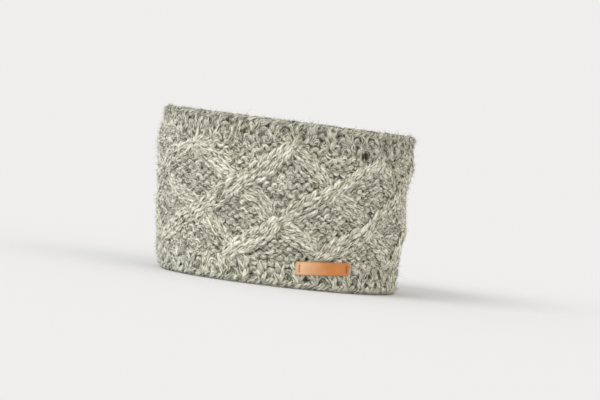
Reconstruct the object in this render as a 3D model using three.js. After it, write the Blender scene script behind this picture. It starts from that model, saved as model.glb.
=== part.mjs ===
// An ear warmer headband: one wide knitted loop with an all-over lattice of cables, a ribbed border
// along each edge and a small leather label sewn on low at one side.
//
// Frame: millimetres, +Z up. The loop stands on its lower rim, which lies in the plane z = 0. The
// face side looks along -Y, so the long way of the oval runs along Y, and the wearer's left is +X.

import * as THREE from "three";

// Sizes of the loop
const headLength = 192;
const headWidth = 155;
const bandHeight = 123;
const lowerRibHeight = 19;
const upperRibHeight = 18;
const backwardLean = 6;
const lowerPull = 5;
const upperSwell = 2;

// Thickness of the knitted walls
const ribWall = 6;
const groundWall = 5.5;
const edgeRounding = 2;

// Relief of the knitting
const ribCount = 48;
const ribRise = 1.7;
const latticeRepeats = 8;
const ropeRise = 3;
const crossingRise = 0.9;
const topCrossingArc = -54;

// The label, whose place is a distance along the oval from the wearer's left side towards the front
const labelLength = 46;
const labelHeight = 10;
const labelThickness = 1.8;
const labelCorner = 1.2;
const labelArc = -21;
const labelCentreHeight = 17;
const labelTurn = 3.5;
const pressMargin = 4;

// Clearance between pieces that touch
const clearance = 0.3;

// Stitches of the lattice: a repeat is 12 stitches wide and 12 rows tall, a rope is 2 stitches wide
// and steps one stitch sideways in each row, and one row more is knitted above and below.
const repeatStitches = 12;
const latticeRows = 18;
const endRows = 1;
const ropeHalfTop = 0.5;
const ropeHalfFoot = 1.5;

// Sections of the loop from the lower rim to the upper one. height is a share of bandHeight. pull is
// a share of lowerPull, which draws the wall in, swell a share of upperSwell, which lets it out, and
// lean a share of backwardLean, which moves the section towards the back.
const sections = [
  { height: 0.0, pull: 1.0, swell: 0.0, lean: 0.85 },
  { height: 0.05, pull: 0.8, swell: 0.0, lean: 0.85 },
  { height: 0.16, pull: 0.62, swell: 0.0, lean: 0.75 },
  { height: 0.3, pull: 0.45, swell: 0.0, lean: 0.65 },
  { height: 0.45, pull: 0.25, swell: 0.0, lean: 0.53 },
  { height: 0.62, pull: 0.0, swell: 0.0, lean: 0.03 },
  { height: 0.78, pull: 0.0, swell: 0.7, lean: -0.12 },
  { height: 0.85, pull: 0.0, swell: 0.8, lean: -0.1 },
  { height: 0.92, pull: 0.0, swell: 0.3, lean: -0.05 },
  { height: 1.0, pull: 0.0, swell: 0.1, lean: 0.01 },
];

// Heights of the rows of points on a ribbed border, as shares of its own height.
const ribRows = [0.0, 0.12, 0.5, 0.88, 1.0];

// Materials
const woolMaterial = new THREE.MeshStandardMaterial({ color: 0xadab99, roughness: 0.95, metalness: 0 });
const ribMaterial = new THREE.MeshStandardMaterial({ color: 0xa5a38f, roughness: 0.95, metalness: 0 });
const leatherMaterial = new THREE.MeshStandardMaterial({ color: 0xc9864f, roughness: 0.55, metalness: 0 });

// A smooth step from 0 at x = 0 to 1 at x = 1.
function smooth(x) {
  const t = Math.min(1, Math.max(0, x));
  return t * t * (3 - 2 * t);
}

// The inner oval's offset from the head's oval and its shift towards the back, at a height.
function sectionAt(z) {
  const share = Math.min(1, Math.max(0, z / bandHeight));
  let row = 0;
  while (row < sections.length - 2 && sections[row + 1].height < share) {
    row += 1;
  }
  const lower = sections[row];
  const upper = sections[row + 1];
  const t = smooth((share - lower.height) / (upper.height - lower.height));
  const pull = lower.pull + t * (upper.pull - lower.pull);
  const swell = lower.swell + t * (upper.swell - lower.swell);
  const lean = lower.lean + t * (upper.lean - lower.lean);
  return { offset: swell * upperSwell - pull * lowerPull, shift: lean * backwardLean };
}

// The head's oval, which starts at the +X side and turns towards the back.
const oval = new THREE.EllipseCurve(0, 0, headWidth / 2, headLength / 2, 0, 2 * Math.PI, false, 0);
oval.arcLengthDivisions = 4000;
const ovalLength = oval.getLength();

// A point of the loop: arc is a distance along the oval from its start, z the height and depth the
// distance outwards from the inner face.
function loopPoint(arc, z, depth) {
  const share = (((arc / ovalLength) % 1) + 1) % 1;
  const point = oval.getPointAt(share);
  const tangent = oval.getTangentAt(share);
  const section = sectionAt(z);
  const reach = section.offset + depth;
  return new THREE.Vector3(point.x + tangent.y * reach, point.y - tangent.x * reach + section.shift, z);
}

// The height of a rope's rounded ridge at a distance from its centre line, in stitches.
function ridge(distance) {
  return 1 - smooth((Math.abs(distance) - ropeHalfTop) / (ropeHalfFoot - ropeHalfTop));
}

// The distance in stitches from a place to the nearest rope that passes through it, wrapped to one
// repeat. direction is +1 for ropes that rise towards the back and -1 for those that fall.
function ropeDistance(stitch, row, direction) {
  const start = repeatStitches / 2 + direction * row;
  const across = stitch - start;
  return across - repeatStitches * Math.round(across / repeatStitches);
}

// Relief of the lattice above the ground. Where two ropes cross, one lies on the other and both
// stand higher, and in the rows beyond the last crossings the ropes sink into the borders.
function latticeRelief(stitch, row) {
  const one = ridge(ropeDistance(stitch, row, 1));
  const other = ridge(ropeDistance(stitch, row, -1));
  const beyond = Math.max(-row, row - latticeRows, 0) / endRows;
  const relief = Math.max(one, other) * ropeRise + Math.min(one, other) * crossingRise;
  return relief * (1 - smooth(beyond));
}

// The label's turn, and how much longer the wall is at its back than the oval is.
const turn = THREE.MathUtils.degToRad(labelTurn);
const labelStretch = (() => {
  const before = loopPoint(labelArc - 1, labelCentreHeight, ribWall);
  const after = loopPoint(labelArc + 1, labelCentreHeight, ribWall);
  return before.distanceTo(after) / 2;
})();

// The label presses the knitting flat beneath it, and fades out over a margin beside it: no point
// there stands further out than the ridges of the ribbing.
function pressed(arc, z, depth) {
  const wrapped = arc > ovalLength / 2 ? arc - ovalLength : arc;
  const along = (wrapped - labelArc) * labelStretch;
  const up = z - labelCentreHeight;
  const endBeyond = Math.abs(along * Math.cos(turn) + up * Math.sin(turn)) - labelLength / 2;
  const sideBeyond = Math.abs(up * Math.cos(turn) - along * Math.sin(turn)) - labelHeight / 2;
  const beyond = Math.max(endBeyond, sideBeyond);
  const held = 1 - smooth((beyond - pressMargin / 2) / pressMargin);
  return depth - held * Math.max(0, depth - ribWall);
}

// A closed ring: columns run around the loop and each has the same closed list of points, which
// goes up the outer face and down the inner one. Each four-sided cell is cut along the diagonal
// whose ends differ less in depth, so that ridges keep their line.
function ringGeometry(columns, profileAt) {
  const profiles = [];
  for (let column = 0; column < columns; column += 1) {
    profiles.push(profileAt(column / columns));
  }
  const around = profiles[0].length;
  const positions = [];
  for (let column = 0; column < columns; column += 1) {
    for (const { depth, z } of profiles[column]) {
      const point = loopPoint((column / columns) * ovalLength, z, depth);
      positions.push(point.x, point.y, point.z);
    }
  }
  const indices = [];
  for (let column = 0; column < columns; column += 1) {
    const next = (column + 1) % columns;
    for (let row = 0; row < around; row += 1) {
      const above = (row + 1) % around;
      const a = column * around + row;
      const b = next * around + row;
      const c = next * around + above;
      const d = column * around + above;
      const rising = Math.abs(profiles[column][row].depth - profiles[next][above].depth);
      const falling = Math.abs(profiles[next][row].depth - profiles[column][above].depth);
      if (rising <= falling) {
        indices.push(a, b, c, a, c, d);
      } else {
        indices.push(a, b, d, b, c, d);
      }
    }
  }
  const geometry = new THREE.BufferGeometry();
  geometry.setAttribute("position", new THREE.Float32BufferAttribute(positions, 3));
  geometry.setIndex(indices);
  geometry.computeVertexNormals();
  return geometry;
}

// The cabled part of the wall, between the two borders.
function cableBand() {
  const low = lowerRibHeight + clearance;
  const high = bandHeight - upperRibHeight - clearance;
  const stitches = latticeRepeats * repeatStitches;
  const rows = latticeRows + 2 * endRows;
  const crossing = Math.floor((topCrossingArc / ovalLength) * stitches) + 0.5;
  const geometry = ringGeometry(stitches, (share) => {
    const profile = [];
    const stitch = share * stitches;
    for (let row = 0; row <= rows; row += 1) {
      const z = low + ((high - low) * row) / rows;
      const relief = latticeRelief(stitch - crossing, row - endRows);
      profile.push({ z, depth: pressed(share * ovalLength, z, groundWall + relief) });
    }
    for (const back of [1, 2 / 3, 1 / 3, 0]) {
      profile.push({ z: low + (high - low) * back, depth: 0 });
    }
    return profile;
  });
  return namedMesh("cable_band", geometry, woolMaterial);
}

// A ribbed border from its rim to the cabled wall. Columns of knit stitches stand up as ridges with
// narrow grooves of purl stitches between them, and the outer edge of the rim is rounded.
function ribbing(name, rimHeight, innerHeight) {
  const pointsPerRib = 3;
  const geometry = ringGeometry(ribCount * pointsPerRib, (share) => {
    const place = Math.round(share * ribCount * pointsPerRib) % pointsPerRib;
    const crest = place === 0 ? 0 : 1;
    const outer = ribRows.map((row) => {
      const z = rimHeight + (innerHeight - rimHeight) * row;
      const rounded = row === 0 ? edgeRounding : 0;
      const depth = ribWall - ribRise + crest * ribRise - rounded;
      return { z, depth: pressed(share * ovalLength, z, depth) };
    });
    const inner = [1, 0.5, 0].map((row) => ({ z: rimHeight + (innerHeight - rimHeight) * row, depth: 0 }));
    const profile = outer.concat(inner);
    return innerHeight > rimHeight ? profile : profile.reverse();
  });
  return namedMesh(name, geometry, ribMaterial);
}

// The leather label: a thin plate bent round the wall, with small cut corners, turned a little
// against the rim. It rests on the pressed knitting.
function leatherLabel() {
  const columns = 12;
  const rows = 4;
  const side = (depth) => {
    const points = [];
    for (let row = 0; row <= rows; row += 1) {
      for (let column = 0; column <= columns; column += 1) {
        const up = labelHeight * (row / rows - 0.5);
        const end = Math.abs(row / rows - 0.5) === 0.5 ? labelLength - 2 * labelCorner : labelLength;
        const along = end * (column / columns - 0.5);
        const arc = labelArc + (along * Math.cos(turn) - up * Math.sin(turn)) / labelStretch;
        const z = labelCentreHeight + up * Math.cos(turn) + along * Math.sin(turn);
        points.push(loopPoint(arc, z, depth));
      }
    }
    return points;
  };
  const back = side(ribWall + clearance);
  const front = side(ribWall + clearance + labelThickness);
  const positions = back.concat(front).flatMap((point) => [point.x, point.y, point.z]);
  const width = columns + 1;
  const layer = width * (rows + 1);
  const indices = [];
  for (let row = 0; row < rows; row += 1) {
    for (let column = 0; column < columns; column += 1) {
      const a = row * width + column;
      const b = a + 1;
      const c = b + width;
      const d = a + width;
      indices.push(a, c, b, a, d, c);
      indices.push(layer + a, layer + b, layer + c, layer + a, layer + c, layer + d);
    }
  }
  const border = [];
  for (let column = 0; column < columns; column += 1) {
    border.push(column);
  }
  for (let row = 0; row < rows; row += 1) {
    border.push(row * width + columns);
  }
  for (let column = columns; column > 0; column -= 1) {
    border.push(rows * width + column);
  }
  for (let row = rows; row > 0; row -= 1) {
    border.push(row * width);
  }
  border.forEach((a, index) => {
    const b = border[(index + 1) % border.length];
    indices.push(a, b, layer + b, a, layer + b, layer + a);
  });
  const geometry = new THREE.BufferGeometry();
  geometry.setAttribute("position", new THREE.Float32BufferAttribute(positions, 3));
  geometry.setIndex(indices);
  geometry.computeVertexNormals();
  return namedMesh("leather_label", geometry, leatherMaterial);
}

function namedMesh(name, geometry, material) {
  const mesh = new THREE.Mesh(geometry, material);
  mesh.name = name;
  return mesh;
}

const headband = new THREE.Group();
headband.add(cableBand());
headband.add(ribbing("lower_ribbing", 0, lowerRibHeight));
headband.add(ribbing("upper_ribbing", bandHeight, bandHeight - upperRibHeight));
headband.add(leatherLabel());

export default headband;
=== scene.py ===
# %% [markdown]
# # A cable-knit ear warmer headband
#
# This lesson dresses the imported model of a wide knitted headband: a loop of chunky wool with a
# lattice of cables, ribbed borders and a small leather label. The knitting is made the way a knitter
# makes it, as rows of yarn bent into loops, so its depth and shadows are real geometry, and painted
# shade in the wool's colour deepens its hollows. Every shape is a numpy formula on whole arrays, and
# every finish is built from shader nodes.

# %% The tools and the fixed frame
import math
from types import SimpleNamespace

import bpy
import numpy as np
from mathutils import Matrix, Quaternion, Vector


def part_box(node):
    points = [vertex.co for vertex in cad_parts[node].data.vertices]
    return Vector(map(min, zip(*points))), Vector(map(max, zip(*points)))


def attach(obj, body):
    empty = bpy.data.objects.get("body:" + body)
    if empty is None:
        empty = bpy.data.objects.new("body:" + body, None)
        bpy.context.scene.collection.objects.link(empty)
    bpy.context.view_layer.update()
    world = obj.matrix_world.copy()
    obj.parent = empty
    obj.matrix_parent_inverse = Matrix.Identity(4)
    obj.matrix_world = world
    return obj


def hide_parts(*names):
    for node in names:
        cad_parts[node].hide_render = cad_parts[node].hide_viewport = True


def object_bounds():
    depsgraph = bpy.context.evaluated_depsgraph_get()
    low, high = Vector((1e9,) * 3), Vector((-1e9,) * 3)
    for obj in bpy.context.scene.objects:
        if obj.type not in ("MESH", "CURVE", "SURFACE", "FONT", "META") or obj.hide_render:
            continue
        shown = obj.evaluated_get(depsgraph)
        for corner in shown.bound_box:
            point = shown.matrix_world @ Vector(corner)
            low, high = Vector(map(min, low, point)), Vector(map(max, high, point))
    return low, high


MM = 0.001
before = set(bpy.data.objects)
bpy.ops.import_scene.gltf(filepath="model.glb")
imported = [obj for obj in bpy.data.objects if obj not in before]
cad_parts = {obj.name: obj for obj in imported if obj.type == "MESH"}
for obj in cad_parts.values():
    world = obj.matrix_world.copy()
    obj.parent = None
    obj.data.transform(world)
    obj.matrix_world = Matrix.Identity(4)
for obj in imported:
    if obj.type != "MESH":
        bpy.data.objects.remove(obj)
cad_box = [list(corner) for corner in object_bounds()]
print("nodes:", sorted(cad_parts))
print("box of the model:", cad_box)

# %% [markdown]
# ## Camera
#
# The camera stands nearly level with the upper rim, in front of the wearer's left side. Its long
# lens gives the flat perspective of a product photograph. Only the sensor shift moves the loop to
# its place in the frame, so that the other views of the object aren't disturbed.

# %% The camera
CAMERA_AZIMUTH = math.radians(50)
CAMERA_ELEVATION = math.radians(1.5)
CAMERA_ROLL = math.radians(7.3)
CAMERA_DISTANCE = 1.8
IMAGE_WIDTH = 600
PIXELS_PER_METRE = 1300
SENSOR_WIDTH = 36
LOOP_CENTRE_PIXEL = (281.5, 200.3)
IMAGE_CENTRE_PIXEL = (300, 200)


def direction(azimuth, elevation):
    """The unit vector from the object to a place round it. Azimuth 0 is in front, at -Y."""
    level = math.cos(elevation)
    return np.array([math.sin(azimuth) * level, -math.cos(azimuth) * level, math.sin(elevation)])


def aim(thing, place, target, roll=0.0):
    """Puts a camera or a light at a place, turned to look at a target and rolled about that line."""
    sight = Vector(target) - Vector(place)
    thing.location = place
    thing.rotation_mode = "QUATERNION"
    thing.rotation_quaternion = sight.to_track_quat("-Z", "Y") @ Quaternion((0, 0, 1), roll)


centre = (np.array(cad_box[0]) + np.array(cad_box[1])) / 2
camera_data = bpy.data.cameras.new("camera")
camera = bpy.data.objects.new("camera", camera_data)
bpy.context.collection.objects.link(camera)
camera_data.sensor_width = SENSOR_WIDTH
camera_data.lens = PIXELS_PER_METRE * CAMERA_DISTANCE * SENSOR_WIDTH / IMAGE_WIDTH
camera_data.shift_x = (IMAGE_CENTRE_PIXEL[0] - LOOP_CENTRE_PIXEL[0]) / IMAGE_WIDTH
camera_data.shift_y = (LOOP_CENTRE_PIXEL[1] - IMAGE_CENTRE_PIXEL[1]) / IMAGE_WIDTH
camera_place = centre + CAMERA_DISTANCE * direction(CAMERA_AZIMUTH, CAMERA_ELEVATION)
aim(camera, camera_place, centre, CAMERA_ROLL)
bpy.context.scene.camera = camera
print("lens", round(camera_data.lens, 1), "mm, camera height", round(camera_place[2], 3), "m")

# %% [markdown]
# ## Shader maths as Python
#
# A node tree is easier to read as a formula. `Wire` holds one output socket, and its operators add
# Math nodes. Any other node comes from `node`, which takes the type, the settings and the sockets.

# %% The class that writes shader nodes
class Wire:
    """One output socket of a material, used in expressions."""

    def __init__(self, tree, socket=None):
        self.tree = tree
        self.socket = socket

    def node(self, kind, settings=None, sockets=None, output=0):
        """Adds a node: its settings are set first, then its sockets get values or links."""
        made = self.tree.nodes.new(kind)
        for name, value in (settings or {}).items():
            if name == "stops":
                ramp = made.color_ramp
                while len(ramp.elements) < len(value):
                    ramp.elements.new(1.0)
                for element, (position, colour) in zip(ramp.elements, value):
                    element.position = position
                    element.color = (*colour, 1.0)
            else:
                setattr(made, name, value)
        for key, value in (sockets or {}).items():
            if isinstance(value, Wire):
                self.tree.links.new(value.socket, made.inputs[key])
            else:
                made.inputs[key].default_value = value
        return Wire(self.tree, made.outputs[output])

    def math(self, operation, *others):
        """What a Math node makes of this value, and of the others that it takes."""
        values = dict(enumerate((self, *others)))
        return self.node("ShaderNodeMath", {"operation": operation}, values)

    def __add__(self, other):
        return self.math("ADD", other)

    __radd__ = __add__

    def __sub__(self, other):
        return self.math("SUBTRACT", other)

    def __rsub__(self, other):
        return self.node("ShaderNodeMath", {"operation": "SUBTRACT"}, {0: other, 1: self})

    def __mul__(self, other):
        return self.math("MULTIPLY", other)

    __rmul__ = __mul__

    def cos(self):
        return self.math("COSINE")

    def sin(self):
        return self.math("SINE")

    def abs(self):
        return self.math("ABSOLUTE")

    def step(self, low, high):
        """A smooth step from 0 at low to 1 at high."""
        settings = {"interpolation_type": "SMOOTHSTEP"}
        sockets = {0: self, 1: low, 2: high, 3: 0.0, 4: 1.0}
        return self.node("ShaderNodeMapRange", settings, sockets)

    def ramp(self, *stops):
        """A colour for each value, through the stops."""
        return self.node("ShaderNodeValToRGB", {"stops": stops}, {0: self})

    def blend(self, kind, factor, first, second):
        """What a Mix node makes of two colours, each a wire or a plain colour."""
        colours = [(*c, 1.0) if isinstance(c, tuple) else c for c in (first, second)]
        settings = {"data_type": "RGBA", "blend_type": kind}
        return self.node("ShaderNodeMix", settings, {0: factor, 6: colours[0], 7: colours[1]}, 2)

    def mix(self, first, second):
        """The first colour where this value is 0 and the second where it is 1."""
        return self.blend("MIX", self, first, second)

    def tinted(self, tint):
        """This colour times another one."""
        return self.blend("MULTIPLY", 1.0, self, tint)

    def noise(self, vector, scale, detail=2.0, roughness=0.5):
        """Noise between 0 and 1 at a vector."""
        sockets = {"Vector": vector, "Scale": scale, "Detail": detail, "Roughness": roughness}
        return self.node("ShaderNodeTexNoise", None, sockets)

    def vector(self, x, y, z):
        """A vector of three numbers."""
        return self.node("ShaderNodeCombineXYZ", None, {0: x, 1: y, 2: z})

    def part(self, index):
        """One of the three numbers of a vector."""
        return self.node("ShaderNodeSeparateXYZ", None, {0: self}, index)


def new_material(name, constants):
    """A material, its start for expressions and its main shader with the constant sockets set."""
    material = bpy.data.materials.new(name)
    material.use_nodes = True
    shader = material.node_tree.nodes["Principled BSDF"]
    for socket, value in constants.items():
        shader.inputs[socket].default_value = value
    return material, Wire(material.node_tree), shader


def connect(shader, **wires):
    """Links wires to the shader's sockets, named with underscores for spaces."""
    for name, wire in wires.items():
        wire.tree.links.new(wire.socket, shader.inputs[name.replace("_", " ")])


# %% [markdown]
# ## Floor, light and air
#
# The photograph is a bright product shot in a nearly white room, with little shadow. The floor is
# one wide disc. The lamps are suns with a wide face: their light is soft, yet it is the same
# everywhere on the floor, so one tone of paint makes the floor as bright as the air behind it.

# %% The floor and the lights
AIR = (0.872, 0.858, 0.852)
FLOOR_RADIUS = 30.0
FLOOR_SIDES = 128
LAMPS = (
    # name, azimuth, elevation and width in degrees, strength, colour
    ("key", 2, 36, 40, 1.7, (1.0, 0.985, 0.96)),
    ("fill", 120, 30, 60, 0.5, (1.0, 0.80, 0.56)),
)


def soft_sun(name, azimuth, elevation, width, strength, colour):
    """A distant lamp with a wide face. What it adds to the floor's brightness is its strength
    times the sine of its elevation, divided by pi."""
    data = bpy.data.lights.new(name, "SUN")
    data.angle = math.radians(width)
    data.energy = strength
    data.color = colour
    light = bpy.data.objects.new(name, data)
    bpy.context.collection.objects.link(light)
    place = centre + direction(math.radians(azimuth), math.radians(elevation))
    aim(light, place, centre)
    return np.array(colour) * strength * math.sin(math.radians(elevation)) / math.pi


on_floor = np.array(AIR)
for lamp in LAMPS:
    on_floor += soft_sun(*lamp)
floor_paint = np.array(AIR) / on_floor

turn = np.arange(FLOOR_SIDES) * 2 * math.pi / FLOOR_SIDES
rim = np.stack([np.cos(turn), np.sin(turn), 0 * turn], axis=1) * FLOOR_RADIUS
floor_mesh = bpy.data.meshes.new("floor")
floor_mesh.from_pydata(rim, [], [tuple(range(FLOOR_SIDES))])
floor = bpy.data.objects.new("floor", floor_mesh)
bpy.context.collection.objects.link(floor)
floor_finish = {"Base Color": (*floor_paint, 1.0), "Roughness": 1.0, "Specular IOR Level": 0.0}
floor_mesh.materials.append(new_material("pale floor", floor_finish)[0])

world = bpy.data.worlds.new("air")
bpy.context.scene.world = world
world.use_nodes = True
world.node_tree.nodes["Background"].inputs["Color"].default_value = (*AIR, 1.0)
bpy.context.scene.view_settings.view_transform = "Standard"
print("floor paint", floor_paint.round(3))

# %% [markdown]
# ## The loop's wall
#
# A wall point is found from three numbers: the distance round the head's oval, the height and the
# depth outwards from the inner face. The wall isn't a plain tube. A short table says how far each
# height is drawn in at the bottom, let out near the top and leant towards the back of the head.

# %% From arc, height and depth to a place
HEAD_LENGTH = 192 * MM
HEAD_WIDTH = 155 * MM
OVAL_POINTS = 4001
LOWER_PULL = 3.6 * MM
UPPER_SWELL = 2 * MM
BACKWARD_LEAN = 6 * MM
RIM_TUCK = 3.5 * MM
RIM_TUCK_ARC = -192 * MM
RIM_TUCK_WIDTH = 50 * MM
RIM_TUCK_HEIGHT = 15 * MM
BAND_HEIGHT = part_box("upper_ribbing")[1].z
SECTION_HEIGHT = np.array([0.0, 0.05, 0.16, 0.3, 0.45, 0.62, 0.78, 0.85, 0.92, 1.0])
SECTION_PULL = np.array([1.0, 0.8, 0.62, 0.45, 0.25, 0.0, 0.0, 0.0, 0.0, 0.0])
SECTION_SWELL = np.array([0.0, 0.0, 0.0, 0.0, 0.0, 0.0, 0.7, 0.8, 0.3, 0.1])
SECTION_LEAN = np.array([0.85, 0.85, 0.75, 0.65, 0.53, 0.03, -0.12, -0.1, -0.05, 0.01])

oval_turn = np.linspace(0, 2 * math.pi, OVAL_POINTS)
oval_x = HEAD_WIDTH / 2 * np.cos(oval_turn)
oval_y = HEAD_LENGTH / 2 * np.sin(oval_turn)
oval_arc = np.concatenate([[0.0], np.cumsum(np.hypot(np.diff(oval_x), np.diff(oval_y)))])
OVAL_LENGTH = oval_arc[-1]


def smooth(x):
    """A smooth step: 3x^2 - 2x^3, held at 0 below x = 0 and at 1 above x = 1."""
    x = np.clip(x, 0, 1)
    return x * x * (3 - 2 * x)


def section(height):
    """The wall's outward offset and backward shift at each height, smooth between table rows."""
    share = np.clip(height / BAND_HEIGHT, 0, 1)
    row = np.searchsorted(SECTION_HEIGHT, share, side="right") - 1
    row = row.clip(0, len(SECTION_HEIGHT) - 2)
    t = smooth((share - SECTION_HEIGHT[row]) / (SECTION_HEIGHT[row + 1] - SECTION_HEIGHT[row]))
    offset = UPPER_SWELL * SECTION_SWELL - LOWER_PULL * SECTION_PULL
    shift = BACKWARD_LEAN * SECTION_LEAN
    return (
        offset[row] + t * (offset[row + 1] - offset[row]),
        shift[row] + t * (shift[row + 1] - shift[row]),
    )


def arc_between(arc, start):
    """The shorter way round from one place to another."""
    return np.mod(arc - start + OVAL_LENGTH / 2, OVAL_LENGTH) - OVAL_LENGTH / 2


def wall(arc, height, depth):
    """Places and outward normals. The place is the oval's point, moved along the oval's normal by
    the section's offset plus the depth, and shifted back by the section's lean. In front on the
    wearer's right, the lower rim curls in by tuck exp(-(arc / width)^2), fading upwards."""
    turn = np.interp(np.mod(arc, OVAL_LENGTH), oval_arc, oval_turn)
    normal = np.stack(
        [HEAD_LENGTH * np.cos(turn), HEAD_WIDTH * np.sin(turn), np.zeros_like(turn)], axis=-1
    )
    normal /= np.linalg.norm(normal, axis=-1, keepdims=True)
    offset, shift = section(height)
    curl = np.exp(-((arc_between(arc, RIM_TUCK_ARC) / RIM_TUCK_WIDTH) ** 2))
    reach = offset + depth - RIM_TUCK * curl * (1 - smooth(height / RIM_TUCK_HEIGHT))
    x = HEAD_WIDTH / 2 * np.cos(turn) + normal[..., 0] * reach
    y = HEAD_LENGTH / 2 * np.sin(turn) + normal[..., 1] * reach + shift
    return np.stack([x, y, height + 0 * x], axis=-1), normal


def stretch(height, depth):
    """How much longer the way round is there than the oval is."""
    return 1 + 2 * math.pi * (section(height)[0] + depth) / OVAL_LENGTH


print("inner way round", round(OVAL_LENGTH / MM, 1), "mm")

# %% [markdown]
# ## A hand at work
#
# No hand knitting is quite regular. A few long waves push the whole fabric a little sideways, up or
# down, and in or out. Some crossings of the cables were also pulled out of line, and one loose place
# beneath the upper border shows as a small gap, darkened with painted shade.

# %% The slow drift of the fabric
SEED = 7
DRIFT = np.array([1.0, 0.7, 0.45]) * MM
DRIFT_WAVES = 9
DRIFT_TURNS = (3, 15)
DRIFT_CLIMB = 70
RIM_HOLD = 18 * MM
PULL_REACH = 15 * MM
PULLS = np.array([
    # place round the loop, height, move along, move up, in millimetres
    [-54.0, 100.9, -2.4, 2.7],
    [14.3, 100.9, 8.5, -3.0],
    [-122.3, 100.9, -0.9, -3.6],
    [-88.2, 75.0, 0.2, -3.0],
    [-19.8, 75.0, -2.3, 0.0],
    [48.5, 75.0, -2.0, -2.3],
    [-122.3, 49.2, 7.1, 1.1],
    [-54.0, 49.2, -7.3, -2.0],
    [-88.2, 23.4, -2.5, 1.0],
    [-19.8, 23.4, -6.0, 1.0],
]) * MM
GAP_PLACE = (6.0 * MM, 103.5 * MM)
GAP_REACH = 6 * MM
GAP_PUSH = 5 * MM
# painted shade: the yarn in and round the loose place is darkened nearly to black
PAINTED_GAP_SHADE = 8 * MM
PAINTED_GAP_SHADE_REACH = 3 * MM
GAP_FLOOR = 1.9 * MM
GAP_SLOPE = 2 * MM

random = np.random.default_rng(SEED)
wave_around = random.integers(*DRIFT_TURNS, DRIFT_WAVES)
wave_up = random.uniform(-DRIFT_CLIMB, DRIFT_CLIMB, DRIFT_WAVES)
wave_start = random.uniform(0, 2 * math.pi, (3, DRIFT_WAVES))


def drift(arc, height, depth):
    """Three offsets: along, up and out. The waves are a sum of sines of (waves round x arc +
    waves up x height + start). A pull fades with the distance as exp(-d^2 / 2 reach^2). Both fade
    towards the rims. The loose place pushes the yarn away from its middle by push x
    exp(-d^2 / reach^2), but not the yarn deep in the wall."""
    phase = 2 * math.pi * arc[..., None] / OVAL_LENGTH * wave_around + height[..., None] * wave_up
    offset = np.stack([np.sin(phase + start).sum(axis=-1) for start in wave_start], axis=-1)
    offset = offset * DRIFT * math.sqrt(2 / DRIFT_WAVES)
    for place, level, along, up in PULLS:
        distance = (arc_between(arc, place) ** 2 + (height - level) ** 2) / PULL_REACH**2
        offset = offset + np.exp(-distance / 2)[..., None] * np.array([along, up, 0.0])
    offset = offset * smooth(np.minimum(height, BAND_HEIGHT - height) / RIM_HOLD)[..., None]
    run = arc_between(arc + offset[..., 0], GAP_PLACE[0])
    away = np.stack([run, height + offset[..., 1] - GAP_PLACE[1]], axis=-1)
    distance = np.linalg.norm(away, axis=-1)
    push = GAP_PUSH * np.exp(-((distance / GAP_REACH) ** 2))
    push = push * smooth((depth - GAP_FLOOR) / GAP_SLOPE)
    offset[..., :2] += away * (push / distance)[..., None]
    return offset


print("waves:", DRIFT_WAVES, "pulled crossings:", len(PULLS))

# %% [markdown]
# ## Room for the label
#
# The leather label lies on the lower border, turned a little against the rim. It presses the
# knitting flat beneath it, so no yarn there may come further out than its back.

# %% Where the label presses
LABEL_LENGTH = 46 * MM
LABEL_HEIGHT = 10 * MM
LABEL_THICKNESS = 1.8 * MM
LABEL_CORNER = 1.6 * MM
LABEL_ARC = -22.5 * MM
LABEL_CENTRE_HEIGHT = 17 * MM
LABEL_TURN = math.radians(3.5)
LABEL_BACK = 6.9 * MM
PRESS_MARGIN = 3.5 * MM
LABEL_STRETCH = stretch(np.array(LABEL_CENTRE_HEIGHT), LABEL_BACK)


def on_label(arc, height):
    """Places in the label's own frame: along it and up it, from its centre."""
    along = arc_between(arc, LABEL_ARC) * LABEL_STRETCH
    up = height - LABEL_CENTRE_HEIGHT
    cos, sin = math.cos(LABEL_TURN), math.sin(LABEL_TURN)
    return along * cos + up * sin, up * cos - along * sin


def beyond_label(along, up):
    """How far a place lies beyond the label's edge, with a minus sign inside it."""
    past_end = np.abs(along) - LABEL_LENGTH / 2 + LABEL_CORNER
    past_side = np.abs(up) - LABEL_HEIGHT / 2 + LABEL_CORNER
    outside = np.hypot(np.maximum(past_end, 0), np.maximum(past_side, 0))
    return outside + np.minimum(np.maximum(past_end, past_side), 0) - LABEL_CORNER


def pressed(arc, height, depth, highest):
    """Depths held down to the highest one allowed beneath the label, fading out beside it."""
    held = 1 - smooth(beyond_label(*on_label(arc, height)) / PRESS_MARGIN)
    return depth - held * np.maximum(0, depth - highest)


print("label", round(LABEL_LENGTH / MM), "by", round(LABEL_HEIGHT / MM), "mm")

# %% [markdown]
# ## The chart
#
# A knitter works from a chart. The borders have 80 stitches in a row, one knit to one purl. The
# lattice has 96. There, two-stitch ropes of knit stitches cross a ground of purl stitches: half
# of them rise towards the back and half fall, and five rows lie between two crossings. The purl
# stitches fill the gaps, two fewer or two more in each row, as the ropes close or part.

# %% The rows and their stitches
REPEATS = 8
REPEAT_STITCHES = 12
STITCHES = REPEATS * REPEAT_STITCHES
ROWS_BETWEEN_CROSSINGS = 5
CROSSING_ROWS = 3
LATTICE_ROWS = ROWS_BETWEEN_CROSSINGS * CROSSING_ROWS + 2
FIRST_CROSSING_HEIGHT = 0.19 * BAND_HEIGHT
LAST_CROSSING_HEIGHT = 0.82 * BAND_HEIGHT
TOP_CROSSING_ARC = -54 * MM
RIB_STITCHES = 80
RIB_ROW_PITCH = 6.8 * MM
LOWER_RIB_HEIGHTS = np.array([7.6, 14.4]) * MM
UPPER_RIB_HEIGHTS = np.array([109.6, 116.4]) * MM
WALL_MIDDLE = 3.8 * MM
FABRIC_FACE = 2 * WALL_MIDDLE
TUCK_STITCHES = 1.8

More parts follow.
